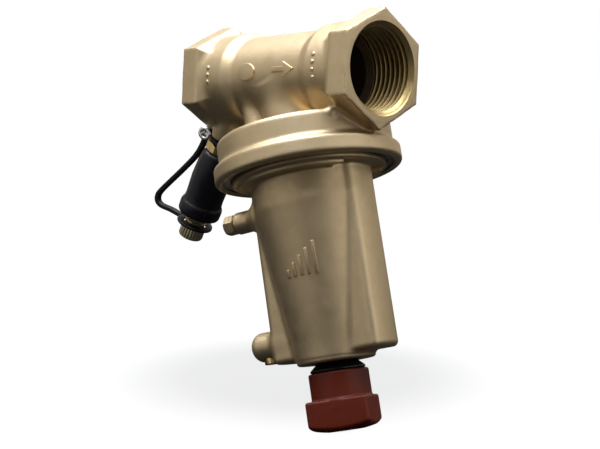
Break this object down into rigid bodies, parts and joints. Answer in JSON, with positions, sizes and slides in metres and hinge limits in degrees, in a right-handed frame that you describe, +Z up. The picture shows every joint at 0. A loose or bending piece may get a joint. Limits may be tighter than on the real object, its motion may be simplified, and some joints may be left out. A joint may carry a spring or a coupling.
{
  "type": "differential pressure controller",
  "caption": "In-line valve casting with threaded hexagon ends, round diaphragm housing, ribbed spring bonnet, square red handwheel and capped test nipple",
  "frame": {"origin": "where the pipe axis crosses the stem axis", "axes": "+Z up the stem from the handwheel to the pipe, +X toward the outlet end in the plane of both axes; the pipe axis falls 15.6 degrees toward +X"},
  "size_m": [0.1405, 0.072, 0.1703],
  "materials": {
    "cast_brass": "satin sand-cast alloy, fine grain",
    "machined_brass": "turned, bright",
    "pale_brass": "knurled, pale",
    "stainless_steel": "turned",
    "spring_steel": "drawn",
    "chrome": "polished",
    "black_rubber": "matt",
    "black_plastic": "satin",
    "red_plastic": "satin, dark brick red"
  },
  "bodies": {
    "housing": {"valve_body": "cast_brass", "bonnet": "cast_brass", "seat_ring": "stainless_steel", "stem_guide_bush": "machined_brass", "stem_seal": "black_rubber", "retaining_ring": "spring_steel", "spring_upper_seat": "stainless_steel", "spring_seat_clip": "spring_steel", "spindle_o_ring": "black_rubber", "diaphragm": "black_rubber", "main_spring": "spring_steel", "capillary_plug": "machined_brass", "capillary_seal": "black_rubber", "nipple_body": "machined_brass", "nipple_sleeve": "black_plastic", "nipple_packing": "black_rubber", "cap_strap": "black_rubber", "strap_eyelet": "chrome"},
    "stem": {"valve_stem": "stainless_steel", "valve_cone": "machined_brass", "cone_seal": "black_rubber", "cone_nut": "stainless_steel", "diaphragm_upper_plate": "stainless_steel", "diaphragm_lower_plate": "stainless_steel", "diaphragm_nut": "machined_brass", "swivel_clip": "spring_steel"},
    "setting_screw": {"setting_screw": "stainless_steel"},
    "spring_nut": {"spring_nut": "machined_brass"},
    "thrust_collar": {"thrust_collar": "black_plastic"},
    "handwheel": {"handwheel": "red_plastic", "shut_off_spindle": "machined_brass", "handwheel_clip": "spring_steel"},
    "vent_seal": {"vent_seal": "black_rubber"},
    "vent_screw": {"vent_screw": "cast_brass"},
    "cap_seal": {"cap_seal": "black_rubber"},
    "test_cap": {"test_cap": "pale_brass"}
  },
  "joints": [
    {"name": "control_stroke", "type": "slide", "parent": "housing", "child": "stem", "axis": [0, 0, 1], "range_m": [-0.0025, 0], "stiffness_N_per_m": 5000, "springref_m": -0.0055, "deforming": ["diaphragm"]},
    {"name": "set_point_turn", "type": "hinge", "parent": "stem", "child": "setting_screw", "pos_m": [0, 0, -0.097], "axis": [0, 0, 1], "range_deg": [0, 7200]},
    {"name": "spring_nut_travel", "type": "slide", "parent": "stem", "child": "spring_nut", "axis": [0, 0, 1], "range_m": [0, 0.015], "deforming": ["main_spring"]},
    {"name": "shut_off_rise", "type": "slide", "parent": "housing", "child": "thrust_collar", "axis": [0, 0, 1], "range_m": [0, 0.0025]},
    {"name": "shut_off_turn", "type": "hinge", "parent": "thrust_collar", "child": "handwheel", "pos_m": [0, 0, -0.125], "axis": [0, 0, 1], "range_deg": [0, 900]},
    {"name": "vent_screw_travel", "type": "slide", "parent": "housing", "child": "vent_seal", "axis": [-0.9613, -0.2756, 0], "range_m": [0, 0.0015]},
    {"name": "vent_screw_turn", "type": "hinge", "parent": "vent_seal", "child": "vent_screw", "pos_m": [-0.03364, -0.00965, -0.0516], "axis": [-0.9613, -0.2756, 0], "range_deg": [0, 720]},
    {"name": "test_cap_travel", "type": "slide", "parent": "housing", "child": "cap_seal", "axis": [-0.6842, 0, -0.7293], "range_m": [0, 0.003]},
    {"name": "test_cap_turn", "type": "hinge", "parent": "cap_seal", "child": "test_cap", "pos_m": [-0.07698, 0, -0.04625], "axis": [-0.6842, 0, -0.7293], "range_deg": [0, 1080]}
  ],
  "couplings": [
    {"joint": "set_point_turn", "follows": "spring_nut_travel", "rad_per_m": 8377.5},
    {"joint": "shut_off_turn", "follows": "shut_off_rise", "rad_per_m": 6283},
    {"joint": "vent_screw_turn", "follows": "vent_screw_travel", "rad_per_m": 8377.5},
    {"joint": "test_cap_turn", "follows": "test_cap_travel", "rad_per_m": 6283}
  ]
}
